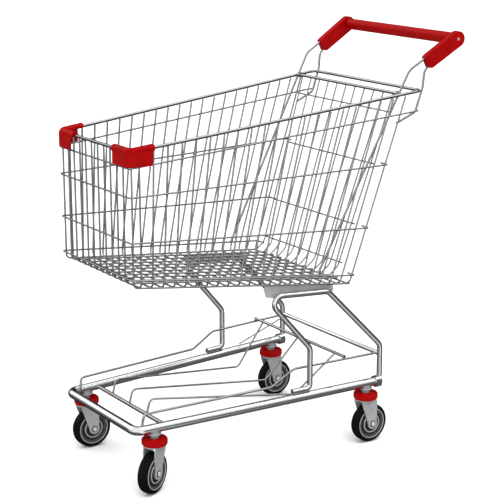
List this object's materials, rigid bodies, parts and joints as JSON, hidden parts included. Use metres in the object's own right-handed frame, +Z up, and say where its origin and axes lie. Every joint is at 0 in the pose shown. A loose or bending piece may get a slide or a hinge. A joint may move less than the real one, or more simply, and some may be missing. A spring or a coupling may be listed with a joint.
{
  "type": "shopping trolley",
  "caption": "Supermarket push trolley: tapered wire basket with a hinged rear gate on a tubular frame, lower rack, red handle and corner bumpers, swivel casters.",
  "frame": {"origin": "centre of the footprint, on the floor", "axes": "+X toward the trolley's front, +Y to its left, +Z up"},
  "size_m": [0.939, 0.4772, 1.0325],
  "materials": {
    "wire_steel": "bright plated wire",
    "tube_steel": "bright plated tube",
    "caster_zinc": "zinc plated sheet",
    "bolt_steel": "bright",
    "red_plastic": "moulded",
    "plug_plastic": "moulded",
    "wheel_plastic": "moulded",
    "tyre_rubber": "smooth tread"
  },
  "bodies": {
    "frame": {"chassis_tube": "tube_steel", "rail_plug_left": "plug_plastic", "rail_plug_right": "plug_plastic", "front_crossbar": "wire_steel", "support_left": "tube_steel", "support_right": "tube_steel", "upper_cross_tube": "tube_steel", "rack_side_wire_left": "wire_steel", "rack_side_wire_right": "wire_steel", "rack_rear_bar": "wire_steel", "rack_centre_wires": "wire_steel", "brace_wire_right": "wire_steel", "bracket_left": "caster_zinc", "bracket_right": "caster_zinc", "basket_rim": "wire_steel", "side_wires_left": "wire_steel", "side_wires_right": "wire_steel", "front_wires": "wire_steel", "floor_long_wires": "wire_steel", "floor_cross_wires": "wire_steel", "belts_left": "wire_steel", "belts_right": "wire_steel", "belts_front": "wire_steel", "stays_left": "wire_steel", "stays_right": "wire_steel", "handle_arm_left": "red_plastic", "handle_arm_right": "red_plastic", "grip_sleeve": "red_plastic", "grip_core": "bolt_steel", "arm_screw_left": "bolt_steel", "arm_screw_right": "bolt_steel", "bumper_left": "red_plastic", "bumper_right": "red_plastic", "caster_fl_mount": "caster_zinc", "caster_fr_mount": "caster_zinc", "caster_rl_mount": "caster_zinc", "caster_rr_mount": "caster_zinc"},
    "gate": {"gate_wires": "wire_steel", "gate_cross_wires": "wire_steel", "gate_pivot_bar": "wire_steel"},
    "caster_fl": {"caster_fl_cap": "red_plastic", "caster_fl_fork": "caster_zinc", "caster_fl_axle": "bolt_steel"},
    "wheel_fl": {"caster_fl_hub": "wheel_plastic", "caster_fl_tyre": "tyre_rubber"},
    "caster_fr": {"caster_fr_cap": "red_plastic", "caster_fr_fork": "caster_zinc", "caster_fr_axle": "bolt_steel"},
    "wheel_fr": {"caster_fr_hub": "wheel_plastic", "caster_fr_tyre": "tyre_rubber"},
    "caster_rl": {"caster_rl_cap": "red_plastic", "caster_rl_fork": "caster_zinc", "caster_rl_axle": "bolt_steel"},
    "wheel_rl": {"caster_rl_hub": "wheel_plastic", "caster_rl_tyre": "tyre_rubber"},
    "caster_rr": {"caster_rr_cap": "red_plastic", "caster_rr_fork": "caster_zinc", "caster_rr_axle": "bolt_steel"},
    "wheel_rr": {"caster_rr_hub": "wheel_plastic", "caster_rr_tyre": "tyre_rubber"}
  },
  "joints": [
    {"name": "gate_swing", "type": "hinge", "parent": "frame", "child": "gate", "pos_m": [-0.27649, 0, 0.88899], "axis": [0, -1, 0], "range_deg": [0, 65]},
    {"name": "swivel_fl", "type": "hinge", "parent": "frame", "child": "caster_fl", "pos_m": [0.41051, 0.16556, 0.11], "axis": [0, 0, 1], "continuous": true},
    {"name": "spin_fl", "type": "hinge", "parent": "caster_fl", "child": "wheel_fl", "pos_m": [0.4212, 0.17101, 0.05], "axis": [-0.454, 0.891, 0], "continuous": true},
    {"name": "swivel_fr", "type": "hinge", "parent": "frame", "child": "caster_fr", "pos_m": [0.41051, -0.16556, 0.11], "axis": [0, 0, 1], "continuous": true},
    {"name": "spin_fr", "type": "hinge", "parent": "caster_fr", "child": "wheel_fr", "pos_m": [0.39851, -0.16556, 0.05], "axis": [0, 1, 0], "continuous": true},
    {"name": "swivel_rl", "type": "hinge", "parent": "frame", "child": "caster_rl", "pos_m": [-0.19049, 0.20763, 0.11], "axis": [0, 0, 1], "continuous": true},
    {"name": "spin_rl", "type": "hinge", "parent": "caster_rl", "child": "wheel_rl", "pos_m": [-0.20249, 0.20763, 0.05], "axis": [0, 1, 0], "continuous": true},
    {"name": "swivel_rr", "type": "hinge", "parent": "frame", "child": "caster_rr", "pos_m": [-0.19049, -0.20763, 0.11], "axis": [0, 0, 1], "continuous": true},
    {"name": "spin_rr", "type": "hinge", "parent": "caster_rr", "child": "wheel_rr", "pos_m": [-0.20249, -0.20763, 0.05], "axis": [0, 1, 0], "continuous": true}
  ]
}
